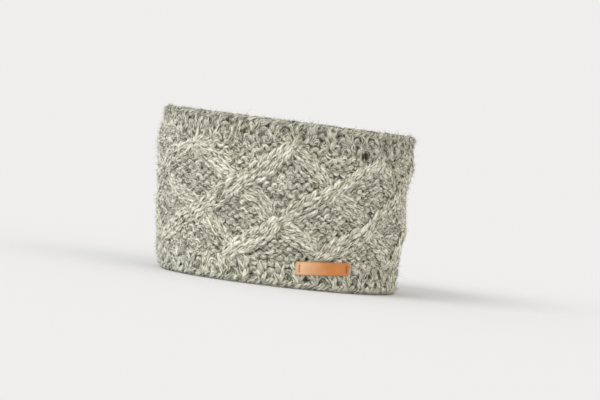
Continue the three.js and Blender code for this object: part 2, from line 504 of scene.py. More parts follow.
CROSSINGS_RISE = LAST_CROSSING_HEIGHT - FIRST_CROSSING_HEIGHT
ROW_PITCH = CROSSINGS_RISE / (ROWS_BETWEEN_CROSSINGS * CROSSING_ROWS)
ROPE_STEP = REPEAT_STITCHES / 2 / ROWS_BETWEEN_CROSSINGS
PURL, KNIT, RISING, FALLING = 0, 1, 2, 3


def rib_row(height):
    """One row of a border: knit and purl stitches in turn, evenly spaced."""
    count = np.arange(RIB_STITCHES)
    kind = np.where(count % 2 == 0, KNIT, PURL)
    none = 0 * count
    return {"kind": kind, "at": count * 1.0, "side": none, "height": height, "tuck": none}


def lattice_row(row):
    """One row of the lattice. The ropes' centres are straight lines in the chart, and the purl
    stitches between two ropes share their gap evenly. at is the place along the row in stitches,
    side is -1 and 1 for the two stitches of a rope, and the tuck of a purl stitch fades from 1 at
    the middle of the nearest rope to 0 well away from it."""
    height = FIRST_CROSSING_HEIGHT + (row - 0.5) * ROW_PITCH
    travelled = (row - 0.5) * ROPE_STEP
    first = REPEAT_STITCHES / 2 + REPEAT_STITCHES * np.arange(REPEATS)
    centres = np.concatenate([first + travelled, first - travelled]) % STITCHES
    kinds = np.repeat([RISING, FALLING], REPEATS)
    order = np.argsort(centres)
    centres, kinds = centres[order], kinds[order]
    stitches = []
    for rope, (at, kind) in enumerate(zip(centres, kinds)):
        gap = (centres[(rope + 1) % len(centres)] - at) % STITCHES
        purls = 2 * round(max(0.0, gap - 2) / 2)
        stitches += [(kind, at, -1), (kind, at, 1)]
        room = gap - 2
        stitches += [(PURL, at + 1 + room * (purl + 0.5) / purls, 0) for purl in range(purls)]
    kind, at, side = (np.array(column) for column in zip(*stitches))
    beside = (at[:, None] - centres + STITCHES / 2) % STITCHES - STITCHES / 2
    tuck = np.exp(-((np.abs(beside).min(axis=1) / TUCK_STITCHES) ** 2)) * (kind == PURL)
    return {"kind": kind, "at": at, "side": side, "height": height, "tuck": tuck}


lower_rows = [rib_row(height) for height in LOWER_RIB_HEIGHTS]
lattice_rows = [lattice_row(row) for row in range(LATTICE_ROWS)]
upper_rows = [rib_row(height) for height in UPPER_RIB_HEIGHTS]
print(LATTICE_ROWS, "lattice rows", round(ROW_PITCH / MM, 2), "mm apart, of", STITCHES, "stitches")

# %% [markdown]
# ## The kinds of stitch
#
# A knit stitch shows its two legs in front, with its head and feet behind, and a purl stitch is the
# same seen from the back. The stitches of a rope are turned to lie along it, and are taller. Numbers
# per stitch are kept as arrays, so that the whole fabric is worked out at once.

# %% The sizes of every stitch
KNIT_WAVE = 1.5 * MM
PURL_WAVE = 1.35 * MM
ROPE_WAVE = 1.2 * MM
KNIT_BULGE = 0.28
PURL_BULGE = 0.15
ROPE_BULGE = 0.22
LOOP_OVERLAP = 3.4 * MM
RIB_SPREAD = 0.12
RIB_RELIEF = 0.2 * MM
GROUND_TUCK = 2.1 * MM
ROPE_STITCH = 7.8 * MM
ROPE_RISE = 1.8 * MM


def stitch_sizes(rows, row_pitch):
    """The chart's columns as arrays, with one array row for a row of knitting, and the sizes of
    each stitch: its pitch round the loop, its slant and angle, its width and half its height, how
    far its legs wave outwards, how far it rises and how much its head bulges."""
    sizes = SimpleNamespace()
    for name in ("kind", "at", "side", "height", "tuck"):
        column = [np.broadcast_to(row[name], row["kind"].shape) for row in rows]
        setattr(sizes, name, np.stack(column))
    sizes.rope = sizes.kind >= RISING
    sizes.in_lattice = sizes.rope.any()
    sizes.pitch = OVAL_LENGTH / sizes.kind.shape[1] * stretch(sizes.height, FABRIC_FACE)
    rope_run = ROPE_STEP * sizes.pitch
    sizes.rope_length = np.hypot(rope_run, row_pitch)
    sizes.slant = np.where(sizes.kind == RISING, -1.0, np.where(sizes.kind == FALLING, 1.0, 0.0))
    sizes.angle = sizes.slant * np.arctan2(rope_run, row_pitch)

    knit = sizes.kind == KNIT
    rib_width = sizes.pitch * (1 + RIB_SPREAD * np.where(knit, 1.0, -1.0))
    plain_width = np.where(sizes.in_lattice, sizes.pitch, rib_width)
    sizes.width = np.where(sizes.rope, ROPE_STITCH, plain_width)
    sizes.half_height = (np.where(sizes.rope, sizes.rope_length, row_pitch) + LOOP_OVERLAP) / 2
    front_wave = np.where(sizes.rope, ROPE_WAVE, KNIT_WAVE)
    sizes.wave = np.where(sizes.kind == PURL, -PURL_WAVE, front_wave)
    rib_rise = RIB_RELIEF * np.sign(sizes.wave)
    plain_rise = np.where(sizes.in_lattice, -GROUND_TUCK * sizes.tuck, rib_rise)
    sizes.rise = np.where(sizes.rope, ROPE_RISE, plain_rise)
    sizes.bulge = np.where(sizes.rope, ROPE_BULGE, np.where(knit, KNIT_BULGE, PURL_BULGE))
    return sizes


# %% [markdown]
# ## The yarn of a stitch
#
# A stitch is an omega of yarn: it starts at its left foot, climbs its left leg, rounds its head and
# comes down again to its right foot. The rope that rises passes over the one that falls. Near a
# crossing a rope is pulled together, and beyond its last crossings it sinks into the border.

# %% One stitch as a formula
ROPE_ROUNDING = 0.5 * MM
CROSSING_OVER = 1.5 * MM
CROSSING_UNDER = 2.0 * MM
CROSSING_REACH = 7.0 * MM
CROSSING_PINCH = 0.4
PINCH_REACH = 10 * MM
ROPE_END = 7 * MM
ROPE_SETTLE = 10 * MM


def each(values):
    """A value for each stitch, ready to meet the points along its yarn."""
    return values[..., None]


def rope_course(sizes, across, along):
    """How wide a rope is and how high it lies, where place is the way along it from a crossing. It
    is drawn together by pinch exp(-(place / reach)^2), lifted or sunk by exp(-(place / reach)^4),
    rounded off by the square of the way across it, and settled to nothing at both its ends."""
    rounding = ROPE_ROUNDING * (across / ROPE_STITCH) ** 2
    row_number = np.arange(len(sizes.kind))[:, None]
    place = each((row_number - 0.5) * sizes.rope_length) + along
    whole_rope = CROSSING_ROWS * ROWS_BETWEEN_CROSSINGS * each(sizes.rope_length)
    inside = np.minimum(place, whole_rope - place)
    settled = smooth((inside + ROPE_END) / ROPE_SETTLE)
    spacing = each(ROWS_BETWEEN_CROSSINGS * sizes.rope_length)
    place = place - spacing * np.round(place / spacing)
    pinch = CROSSING_PINCH * np.exp(-((place / PINCH_REACH) ** 2))
    passing = each(np.where(sizes.slant < 0, CROSSING_OVER, -CROSSING_UNDER))
    crossing = passing * np.exp(-((place / CROSSING_REACH) ** 4))
    return 1 - pinch, settled * (each(sizes.rise) + crossing - rounding)


def stitch_shape(sizes, t):
    """Offsets from each stitch's middle: round the loop, upwards and outwards. With t from 0 to 1
    over a stitch, the yarn is across = width (t - 1/2 + bulge sin 4 pi t), along = -half height
    cos 2 pi t and out = rise - wave cos 4 pi t, turned by the stitch's angle."""
    across = each(sizes.width) * (t - 0.5 + each(sizes.bulge) * np.sin(4 * math.pi * t))
    along = -each(sizes.half_height) * np.cos(2 * math.pi * t)
    across = across + each(sizes.side) * each(sizes.width) / 2
    drawn_together, rope_lift = rope_course(sizes, across, along)
    across = across * np.where(each(sizes.rope), drawn_together, 1.0)
    lift = np.where(each(sizes.rope), rope_lift, each(sizes.rise))
    out = lift - each(sizes.wave) * np.cos(4 * math.pi * t)
    cos, sin = each(np.cos(sizes.angle)), each(np.sin(sizes.angle))
    return np.stack([across * cos - along * sin, across * sin + along * cos, out], axis=-1)


# %% [markdown]
# ## Stitches joined into rows
#
# One yarn runs through all the stitches of a row, so each stitch's last foot has to meet the next
# one's first. Every stitch is set a little out of place by chance, as a hand sets it, less so in the
# ropes and more in the borders. Over the forehead the fabric is stretched, and its relief flatter.

# %% The yarn of whole rows
ROW_POINTS = 1440
POINT_CROWDING = 0.035
UNEVEN = np.array([0.42, 0.36, 0.25]) * MM
UNEVEN_MOST = 1.6
ROPE_EVEN = 0.8
RIB_UNEVEN = 1.5
FRONT_ARC = -OVAL_LENGTH / 4
FRONT_TAUT = 0.38
FRONT_REACH = 75 * MM
TAUT_LIFT = 2.0 * MM


def feet_joined(path, start, end, way_round, t):
    """Each foot is drawn to the point midway between it and its neighbour's foot, with a weight of
    cos^2 2 pi t that is 1 at the foot and 0 a quarter of the way through the stitch."""
    before = np.roll(end, 1, axis=1)
    before[:, 0, 0] -= way_round[:, 0]
    joint = (before + start) / 2
    joint_after = np.roll(joint, -1, axis=1)
    joint_after[:, -1, 0] += way_round[:, 0]
    weight = np.cos(2 * math.pi * t) ** 2
    fade_in = np.where(t < 0.25, weight, 0.0)[:, None]
    fade_out = np.where(t > 0.75, weight, 0.0)[:, None]
    path = path + (joint - start)[:, :, None, :] * fade_in
    return path + (joint_after - end)[:, :, None, :] * fade_out


def yarn_paths(rows, row_pitch):
    """The path of each row's yarn as arc, height and depth, with one array row for a row of yarn. It
    is smoothed by one 1-2-1 average, and then drawn by taut exp(-(arc from the front / reach)^2)
    towards one depth."""
    sizes = stitch_sizes(rows, row_pitch)
    stitches = sizes.kind.shape[1]
    points = ROW_POINTS // stitches
    even_t = np.arange(points) / points
    t = even_t - POINT_CROWDING * np.sin(4 * math.pi * even_t)

    depth = np.full_like(sizes.height, WALL_MIDDLE)
    middle = np.stack([sizes.at * sizes.pitch, sizes.height, depth], axis=-1)
    plain_uneven = np.where(sizes.in_lattice, 1.0, RIB_UNEVEN)
    unevenness = each(np.where(sizes.rope, ROPE_EVEN, plain_uneven))
    chance = random.normal(0, 1, middle.shape).clip(-UNEVEN_MOST, UNEVEN_MOST)
    middle = middle + chance * UNEVEN * unevenness
    start = middle + stitch_shape(sizes, np.array([0.0]))[:, :, 0]
    end = middle + stitch_shape(sizes, np.array([1.0]))[:, :, 0]
    way_round = (stitches * sizes.pitch)[:, :1]
    path = middle[:, :, None, :] + stitch_shape(sizes, t)
    path = feet_joined(path, start, end, way_round, t).reshape(len(rows), -1, 3)

    even = np.linspace(0, 1, path.shape[1], endpoint=False) * way_round
    path[:, :, 0] -= even
    path = (np.roll(path, 1, axis=1) + 2 * path + np.roll(path, -1, axis=1)) / 4
    path[:, :, 0] = (path[:, :, 0] + even) / stretch(sizes.height[:, :1], FABRIC_FACE)
    path[:, :, 0] += TOP_CROSSING_ARC
    from_front = arc_between(path[:, :, 0], FRONT_ARC)
    taut = FRONT_TAUT * np.exp(-((from_front / FRONT_REACH) ** 2))
    path[:, :, 2] += taut * (WALL_MIDDLE + TAUT_LIFT - path[:, :, 2])
    return path + drift(path[:, :, 0], path[:, :, 1], path[:, :, 2])


# %% [markdown]
# ## The rims
#
# Each rim is bound off, which leaves a plait of yarn lying along it. Two strands twisted round each
# other look the same and are simple to write: they are two helices, half a turn apart.

# %% A twisted cord along a rim
CORD_TURNS = 48
CORD_HELIX = 1.25 * MM
CORD_FLATNESS = 1.25
CORD_UNEVEN = 0.12
CORD_HEIGHTS = (3.5 * MM, BAND_HEIGHT - 3.6 * MM)


def edge_cord(height):
    """Two helices round a line in the middle of the wall. Their radius is the cord's own upwards,
    and flatness times as much outwards, where it also swells and shrinks by chance."""
    share = np.arange(ROW_POINTS) / ROW_POINTS
    turn = 2 * math.pi * CORD_TURNS * share + np.array([[0.0], [math.pi]])
    uneven = random.normal(0, 1, (2, CORD_TURNS * 2))
    places = np.arange(CORD_TURNS * 2) / (CORD_TURNS * 2)
    chance = np.stack([np.interp(share, places, row, period=1) for row in uneven])
    swell = 1 + CORD_UNEVEN * chance
    depth = WALL_MIDDLE + CORD_FLATNESS * CORD_HELIX * swell * np.cos(turn)
    arc = share * OVAL_LENGTH + 0 * turn
    return np.stack([arc, height + CORD_HELIX * np.sin(turn), depth], axis=-1)


# %% [markdown]
# ## The whole fabric
#
# All the rows are put into one array, from the lower rim to the upper one, and the label's place is
# pressed flat. Soft wool isn't equally thick all along: its thickness wanders, and it is a little
# fuller where it stands out and nothing squeezes it.

# %% Every row and its thickness
YARN_RADIUS = 2.05 * MM
THICKNESS_WANDER = 0.2
THICKNESS_PROUD = 0.1
WANDER_PASSES = 3
PROUD_REACH = 3 * MM

lower_cord, upper_cord = (edge_cord(height) for height in CORD_HEIGHTS)
lower_rib = yarn_paths(lower_rows, RIB_ROW_PITCH)
lattice = yarn_paths(lattice_rows, ROW_PITCH)
upper_rib = yarn_paths(upper_rows, RIB_ROW_PITCH)
paths = np.concatenate([lower_cord, lower_rib, lattice, upper_rib, upper_cord])
paths[..., 2] = pressed(paths[..., 0], paths[..., 1], paths[..., 2], LABEL_BACK - YARN_RADIUS)

wander = random.normal(0, 1, paths.shape[:2])
for _ in range(WANDER_PASSES):
    wander = (np.roll(wander, 1, axis=1) + 2 * wander + np.roll(wander, -1, axis=1)) / 4
proud = np.clip((paths[..., 2] - WALL_MIDDLE) / PROUD_REACH, -1, 1)
radii = YARN_RADIUS * (1 + THICKNESS_WANDER * wander + THICKNESS_PROUD * proud)
paths[..., 1] = paths[..., 1].clip(radii, BAND_HEIGHT - radii)
print(len(paths), "strands of", ROW_POINTS, "points, mean radius", round(radii.mean() / MM, 2), "mm")

# %% [markdown]
# ## Hollows
#
# Between its stitches the yarn lies in shade, which is painted into the wool's colour. A map of the
# knitting tells where. Seen from outside, the fabric is a landscape, and each cell of the map keeps
# the highest yarn over it. Seen from inside, it is another one. A hollow is a place that lies below
# both of them, once they have been blurred.

# %% The map of the fabric's two faces
YARN_SIDES = 6
MAP_COLUMNS = 460
MAP_ROWS = 100
BLUR_PASSES = 9
HOLLOW_FROM = -0.3 * MM
HOLLOW_TO = 1.5 * MM
RIM_REACH = 7.5 * MM


def ring_places(path, radius, turn):
    """The arc, height and depth of points round the yarn, at an angle from its outer side. The
    yarn's side is the direction of its path in the fabric, turned by a quarter."""
    before, after = np.roll(path, 1, axis=1), np.roll(path, -1, axis=1)
    run = arc_between(after[..., 0], before[..., 0])
    climb = after[..., 1] - before[..., 1]
    sideways = (radius / np.hypot(run, climb))[..., None] * np.sin(turn)
    arc = path[..., 0, None] + sideways * climb[..., None]
    height = path[..., 1, None] - sideways * run[..., None]
    return arc, height, path[..., 2, None] + radius[..., None] * np.cos(turn)


def cell_of(arc, height):
    """The column and the row of the map that a place falls in."""
    column = (np.mod(arc, OVAL_LENGTH) / OVAL_LENGTH * MAP_COLUMNS).astype(int) % MAP_COLUMNS
    row = (height / BAND_HEIGHT * MAP_ROWS).astype(int).clip(0, MAP_ROWS - 1)
    return column, row


def blurred(face):
    """The map after passes of a 1-2-1 average both ways: round the loop it has no end, and at the
    rims its last row is repeated."""
    for _ in range(BLUR_PASSES):
        face = (np.roll(face, 1, axis=0) + 2 * face + np.roll(face, -1, axis=0)) / 4
        wide = np.pad(face, ((0, 0), (1, 1)), mode="edge")
        face = (wide[:, :-2] + 2 * face + wide[:, 2:]) / 4
    return face


def openness(arc, height, depth):
    """1 on the open faces of the fabric and at its rims, and 0 in its hollows and in the loose
    place, where shade exp(-(distance / reach)^2) is added to the depth of a hollow. The wool's
    finish darkens the yarn by it as painted shade."""
    cell = cell_of(arc, height)
    sunk = np.minimum(outer_face[cell] - depth, depth - inner_face[cell])
    from_gap = np.hypot(arc_between(arc, GAP_PLACE[0]), height - GAP_PLACE[1])
    # painted shade: the loose place counts as a deep hollow, so its yarn is painted nearly black
    sunk = sunk + PAINTED_GAP_SHADE * np.exp(-((from_gap / PAINTED_GAP_SHADE_REACH) ** 2))
    sunk = sunk * smooth(np.minimum(height, BAND_HEIGHT - height) / RIM_REACH)
    return 1 - np.clip((sunk - HOLLOW_FROM) / (HOLLOW_TO - HOLLOW_FROM), 0, 1)


ring_turn = np.arange(YARN_SIDES) * 2 * math.pi / YARN_SIDES
ring_arc, ring_height, ring_depth = ring_places(paths, radii, ring_turn)
outer_face = np.zeros((MAP_COLUMNS, MAP_ROWS))
inner_face = np.full((MAP_COLUMNS, MAP_ROWS), FABRIC_FACE)
np.maximum.at(outer_face, cell_of(ring_arc, ring_height), ring_depth)
np.minimum.at(inner_face, cell_of(ring_arc, ring_height), ring_depth)
outer_face, inner_face = blurred(outer_face), blurred(inner_face)
yarn_open = openness(ring_arc, ring_height, ring_depth)
print("fabric's mean thickness", round((outer_face - inner_face).mean() / MM, 2), "mm")

# %% [markdown]
# ## From paths to yarn
#
# Each row of yarn is a closed tube. A ring of points is carried along the path, held square to it
# by the path's own direction and the wall's outward normal. The first texture coordinate is the
# length along the yarn in metres and the second runs once round it.

# %% A round yarn along closed paths
STRAND_START = 3.7


def add_piece(name, vertices, faces, material, corner_uv=None):
    """A mesh object from arrays of points and of faces, which all have as many corners."""
    mesh = bpy.data.meshes.new(name)
    mesh.vertices.add(len(vertices))
    mesh.vertices.foreach_set("co", np.ascontiguousarray(vertices, dtype=np.float32).ravel())
    mesh.loops.add(faces.size)
    mesh.loops.foreach_set("vertex_index", faces.astype(np.int32).ravel())
    mesh.polygons.add(len(faces))
    mesh.polygons.foreach_set("loop_start", np.arange(len(faces), dtype=np.int32) * faces.shape[1])
    mesh.update(calc_edges=True)
    mesh.polygons.foreach_set("use_smooth", np.ones(len(faces), dtype=bool))
    if corner_uv is not None:
        layer = mesh.uv_layers.new(name="along")
        layer.data.foreach_set("uv", np.ascontiguousarray(corner_uv, dtype=np.float32).ravel())
    mesh.materials.append(material)
    piece = bpy.data.objects.new(name, mesh)
    bpy.context.collection.objects.link(piece)
    triangles = len(faces) * (faces.shape[1] - 2)
    print(name, triangles, "triangles")
    return piece


def tube(centre_line, outward, radius, sides):
    """Closed tubes: the ring at a point is radius (cos v out + sin v side), where side is the
    path's direction crossed with the wall's normal and out is side crossed with the direction.
    The texture of each strand starts some metres after the last one's, so that none are alike."""
    along = np.roll(centre_line, -1, axis=1) - np.roll(centre_line, 1, axis=1)
    along /= np.linalg.norm(along, axis=-1, keepdims=True)
    side = np.cross(along, outward)
    side /= np.linalg.norm(side, axis=-1, keepdims=True)
    out = np.cross(side, along)
    v = np.arange(sides) * 2 * math.pi / sides
    ring = np.cos(v)[:, None] * out[:, :, None, :] + np.sin(v)[:, None] * side[:, :, None, :]
    vertices = centre_line[:, :, None, :] + radius[:, :, None, None] * ring

    strands, points = centre_line.shape[:2]
    strand, point, corner = np.indices((strands, points, sides))

    def index(point_step, corner_step):
        point_there = (point + point_step) % points
        return (strand * points + point_there) * sides + (corner + corner_step) % sides

    faces = np.stack([index(0, 0), index(0, 1), index(1, 1), index(1, 0)], axis=-1).reshape(-1, 4)
    lengths = np.linalg.norm(np.roll(centre_line, -1, axis=1) - centre_line, axis=-1)
    start = np.cumsum(lengths, axis=1) - lengths
    start = start + np.arange(strands)[:, None] * STRAND_START
    u0 = np.broadcast_to(start[:, :, None], strand.shape)
    u1 = np.broadcast_to((start + lengths)[:, :, None], strand.shape)
    v0 = corner / sides
    v1 = (corner + 1) / sides
    corners = [(u0, v0), (u0, v1), (u1, v1), (u1, v0)]
    uv = np.stack([np.stack(pair, axis=-1) for pair in corners], axis=-2).reshape(-1, 2)
    return vertices, faces, uv


# %% [markdown]
# ## Wool
#
# The yarn is a heathered sage grey: pale and dark fibres carded together, loosely twisted from two
# plies. The pattern follows the yarn by its own texture coordinates, so each fibre runs along the
# yarn and winds slowly round it. Sheen gives the soft edge that wool has in any light.

# %% The wool's finish
WHITE = (1.0, 1.0, 1.0)
DARK_FIBRE = (0.062, 0.061, 0.037)
MIDDLE_FIBRE = (0.475, 0.477, 0.373)
PALE_FIBRE = (0.88, 0.883, 0.775)
FIBRE_STOPS = ((0.375, DARK_FIBRE), (0.47, MIDDLE_FIBRE), (0.60, PALE_FIBRE))
FUZZ_STOPS = ((0.2, DARK_FIBRE), (0.45, MIDDLE_FIBRE), (0.8, PALE_FIBRE))
# painted shade in the fabric's hollows: nearly black where they are deepest, no change on the open
# faces
PAINTED_HOLLOW_SHADE_STOPS = ((0.0, (0.037, 0.033, 0.022)), (0.5, (0.31, 0.29, 0.238)), (1.0, WHITE))
# painted shade at the flanks of each yarn, where strands touch
PAINTED_SIDE_SHADE_STOPS = ((0.0, (0.258, 0.24, 0.195)), (0.5, WHITE))
TWIST = 130.0
FIBRE_ROUND = 2.5
FIBRE_ALONG = 290.0
BLEND_ROUND = 0.5
BLEND_ALONG = 40.0
BLEND_SHARE = 0.18
PLY_RELIEF = 0.7
FIBRE_RELIEF = 0.55
# painted shade: the upper border is darkened a little
UPPER_BORDER_FROM = 98 * MM
UPPER_BORDER_TO = 108 * MM
PAINTED_UPPER_BORDER_SHADE = (0.83, 0.83, 0.82)


def wool_material(name):
    """Fibre streaks from noise on a twisted cylinder: (cos c, sin c, u), where the angle c is the
    way round the yarn plus the twist along it, so that the pattern has no seam. The streaks' tone is
    darkened with painted shade in hollows, at the sides where strands touch, and a little in the
    upper border."""
    constants = {"Roughness": 0.92, "Specular IOR Level": 0.25}
    constants.update({"Sheen Weight": 0.35, "Sheen Roughness": 0.45})
    material, start, shader = new_material(name, constants)
    uv = start.node("ShaderNodeUVMap", {"uv_map": "along"})
    u, v = uv.part(0), uv.part(1)
    turn = v * (2 * math.pi) + u * TWIST
    fibre_place = start.vector(turn.cos() * FIBRE_ROUND, turn.sin() * FIBRE_ROUND, u * FIBRE_ALONG)
    fibres = start.noise(fibre_place, 1.0)
    blend_place = start.vector(turn.cos() * BLEND_ROUND, turn.sin() * BLEND_ROUND, u * BLEND_ALONG)
    blends = start.noise(blend_place, 1.0)
    tone = fibres * (1 - BLEND_SHARE) + blends * BLEND_SHARE
    # painted shade: the 'open' attribute darkens the yarn in the fabric's hollows and in the loose
    # place
    hollow = start.node("ShaderNodeAttribute", {"attribute_name": "open"}, None, 2)
    # painted shade: the flanks of each yarn, where strands touch, are darkened
    side_shade_facing = (v * (2 * math.pi)).cos().abs()
    object_height = start.node("ShaderNodeTexCoord", output=3).part(2)
    border = object_height.step(UPPER_BORDER_FROM, UPPER_BORDER_TO)
    colour = tone.ramp(*FIBRE_STOPS)
    colour = colour.tinted(hollow.ramp(*PAINTED_HOLLOW_SHADE_STOPS)).tinted(side_shade_facing.ramp(*PAINTED_SIDE_SHADE_STOPS))
    # painted shade: the upper border is darkened a little
    colour = colour.tinted(border.mix(WHITE, PAINTED_UPPER_BORDER_SHADE))
    ply = turn.cos().abs()
    relief = ply.math("POWER", 0.5) * PLY_RELIEF + fibres * FIBRE_RELIEF
    bump = start.node("ShaderNodeBump", None, {"Strength": 0.9, "Distance": 0.001, "Height": relief})
    connect(shader, Base_Color=colour, Normal=bump)
    return material


def fuzz_material(name):
    """Single fibres: each has one tone of its own, found from the whole number in its u."""
    constants = {"Roughness": 0.9, "Specular IOR Level": 0.2}
    material, start, shader = new_material(name, constants)
    number = start.node("ShaderNodeUVMap", {"uv_map": "along"}).part(0).math("FLOOR")
    chance = start.node("ShaderNodeTexWhiteNoise", {"noise_dimensions": "1D"}, {"W": number})
    connect(shader, Base_Color=chance.ramp(*FUZZ_STOPS))
    return material


wool = wool_material("heathered wool")
fuzz = fuzz_material("wool fuzz")
print("nodes in the wool's finish:", len(wool.node_tree.nodes))

# %% [markdown]
# ## The knitted pieces
#
# The rows are joined into a few pieces, each small enough to keep all of its faces, and each piece
# stands for the solid that it covers. How open the fabric is there goes with every point of the
# mesh as an attribute, which the wool's finish reads.

# %% The rows of knitting
def knit_piece(name, first, last, node):
    """The tube of the rows from first up to last, in place of a solid."""
    line, outward = wall(*(paths[first:last, :, i] for i in range(3)))
    vertices, faces, uv = tube(line, outward, radii[first:last], YARN_SIDES)
    piece = add_piece(name, vertices.reshape(-1, 3), faces, wool, uv)
    # the 'open' attribute drives the wool's painted shade in the hollows
    attribute = piece.data.attributes.new("open", "FLOAT", "POINT")
    attribute.data.foreach_set("value", yarn_open[first:last].ravel().astype(np.float32))
    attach(piece, "root")
    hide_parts(node)
    return line, outward


low = len(lower_cord) + len(lower_rib)
high = low + len(lattice)
third = len(lattice) // 3 + 1
yarns = [
    knit_piece("lower_ribbing_knit", 0, low, "lower_ribbing"),
    knit_piece("cable_knit_low", low, low + third, "cable_band"),
    knit_piece("cable_knit_middle", low + third, low + 2 * third, "cable_band"),
    knit_piece("cable_knit_high", low + 2 * third, high, "cable_band"),
    knit_piece("upper_ribbing_knit", high, len(paths), "upper_ribbing"),
]

# %% [markdown]
# ## Fuzz
#
# Wool is never bare. Short fibre ends lie nearly flat on the yarn and roughen it, and longer bent
# hairs stand off it in a soft haze that blurs the edge of the knitting. Both are thin spikes with
# three sides, at random places of the yarn and mostly on its outer side. Few grow in the hollows,
# where they couldn't be seen, and none under the label.

# %% Tens of thousands of spikes in a few meshes
SPIKE_SIDES = 3
SPIKE_ROOT = 0.9
SPIKE_THINNING = 0.3
SPIKE_NUMBER = 0.25
ODD_DIRECTION = (0.31, 0.17, 0.93)
CLEAR_OF_LABEL = 1.5 * MM
CLEAR_OF_FLOOR = 0.3 * MM
FUZZ_MESHES = 2
FUZZ = (
    # name, spikes tried, straight parts, radius, shortest, longest, lift, sway
    ("fibre_ends", 42000, 1, 0.19 * MM, 1.8 * MM, 4.6 * MM, 0.2, 0.2),
    ("stray_hairs", 9000, 2, 0.09 * MM, 2.5 * MM, 7.5 * MM, 1.1, 0.5),
)


def unit(vectors):
    """The vectors, each made one long."""
    return vectors / np.linalg.norm(vectors, axis=-1, keepdims=True)


def fuzz_piece(name, count, rings, radius, shortest, longest, lift, sway):
    """Spikes of one straight part or of two equal ones. A spike leaves the yarn at a slant given by
    its lift, and each part turns away by chance, more so with more sway. Its texture coordinate u
    is its own number plus a quarter."""
    line = np.concatenate([line for line, outward in yarns])
    outward = np.concatenate([outward for line, outward in yarns])
    along = unit(np.roll(line, -1, axis=1) - np.roll(line, 1, axis=1))
    strand = random.integers(0, line.shape[0], count)
    point = random.integers(0, line.shape[1], count)
    turn = random.normal(0, 1.0, count)
    arc, height, depth = paths[strand, point].T
    clear = beyond_label(*on_label(arc, height)) > CLEAR_OF_LABEL
    clear &= random.uniform(0, 1, count) < openness(arc, height, depth + YARN_RADIUS * np.cos(turn))
    strand, point, turn = strand[clear], point[clear], turn[clear, None]
    face, run = outward[strand, point], along[strand, point]
    side = unit(np.cross(run, face))
    out = np.cos(turn) * np.cross(side, run) + np.sin(turn) * side
    way = random.choice([-1, 1], len(run))[:, None]
    length = random.uniform(shortest, longest, len(run))[:, None]
    places = [line[strand, point] + out * YARN_RADIUS * SPIKE_ROOT]
    heading = unit(way * run + lift * out)
    for _ in range(rings):
        heading = unit(heading + sway * random.normal(0, 1, heading.shape))
        places.append(places[-1] + heading * length / rings)
    places = np.stack(places, axis=1)
    places = places[places[:, :, 2].min(axis=1) > CLEAR_OF_FLOOR]

    first = unit(places[:, 1] - places[:, 0])
    across = unit(np.cross(first, ODD_DIRECTION))
    other = np.cross(first, across)
    corner = np.arange(SPIKE_SIDES) * 2 * math.pi / SPIKE_SIDES
    ring = np.cos(corner)[:, None] * across[:, None] + np.sin(corner)[:, None] * other[:, None]
    thin = radius * (1 - SPIKE_THINNING * np.arange(rings))
    body = places[:, :rings, None] + thin[:, None, None] * ring[:, None]
    vertices = np.concatenate([body.reshape(len(body), -1, 3), places[:, rings:]], axis=1)
    tip = rings * SPIKE_SIDES
    last = tip - SPIKE_SIDES
    sides = [(a, (a + 1) % SPIKE_SIDES) for a in range(SPIKE_SIDES)]
    pattern = [(2, 1, 0)] + [(last + a, last + b, tip) for a, b in sides]
    for low in range(0, last, SPIKE_SIDES):
        high = low + SPIKE_SIDES
        for a, b in sides:
            pattern += [(low + a, low + b, high + b), (low + a, high + b, high + a)]
    pattern = np.array(pattern)
    number = np.arange(len(body))[:, None, None]
    faces = (number * (tip + 1) + pattern).reshape(-1, 3)
    u = number + SPIKE_NUMBER + 0 * pattern
    uv = np.stack([u, 0 * u], axis=-1).reshape(-1, 2)
    piece = add_piece(name, vertices.reshape(-1, 3), faces, fuzz, uv)
    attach(piece, "root")


for index in range(FUZZ_MESHES):
    for name, *measures in FUZZ:
        fuzz_piece(f"{name}_{index}", *measures)

# %% [markdown]
# ## The leather label
#
# The label is a strip of smooth tan leather with a bare face, rubbed round at its edges. Two sheets
# of grid points, one for the face and one for the back, bend with the wall and are closed by a rim
# of faces. The strip isn't quite flat, because the stitches beneath push it up here and there, and
# its face sinks a little where the thread pulls.

# %% The label's plate
LABEL_COLUMNS = 120
LABEL_ROWS = 40
EDGE_ROUND = 0.55 * MM
EDGE_LEVEL = 0.62
SWELL = 0.35 * MM
SWELL_ALONG = 210
SWELL_START = 0.8
SWELL_UP = 150
HOLE_INSET = 2.6 * MM
HOLE_SPACING = 2.1 * MM
DENT_WIDTH = 0.8 * MM
DENT_DEPTH = 0.45 * MM
HOLE_UPS = [step * HOLE_SPACING for step in (-1.5, -0.5, 0.5, 1.5)]
HOLES = [(end * (LABEL_LENGTH / 2 - HOLE_INSET), up) for end in (-1, 1) for up in HOLE_UPS]


def label_point(along, up, depth):
    """A place on the label, bent with the wall."""
    cos, sin = math.cos(LABEL_TURN), math.sin(LABEL_TURN)
    arc = LABEL_ARC + (along * cos - up * sin) / LABEL_STRETCH
    place, outward = wall(arc, LABEL_CENTRE_HEIGHT + up * cos + along * sin, depth)
    return place


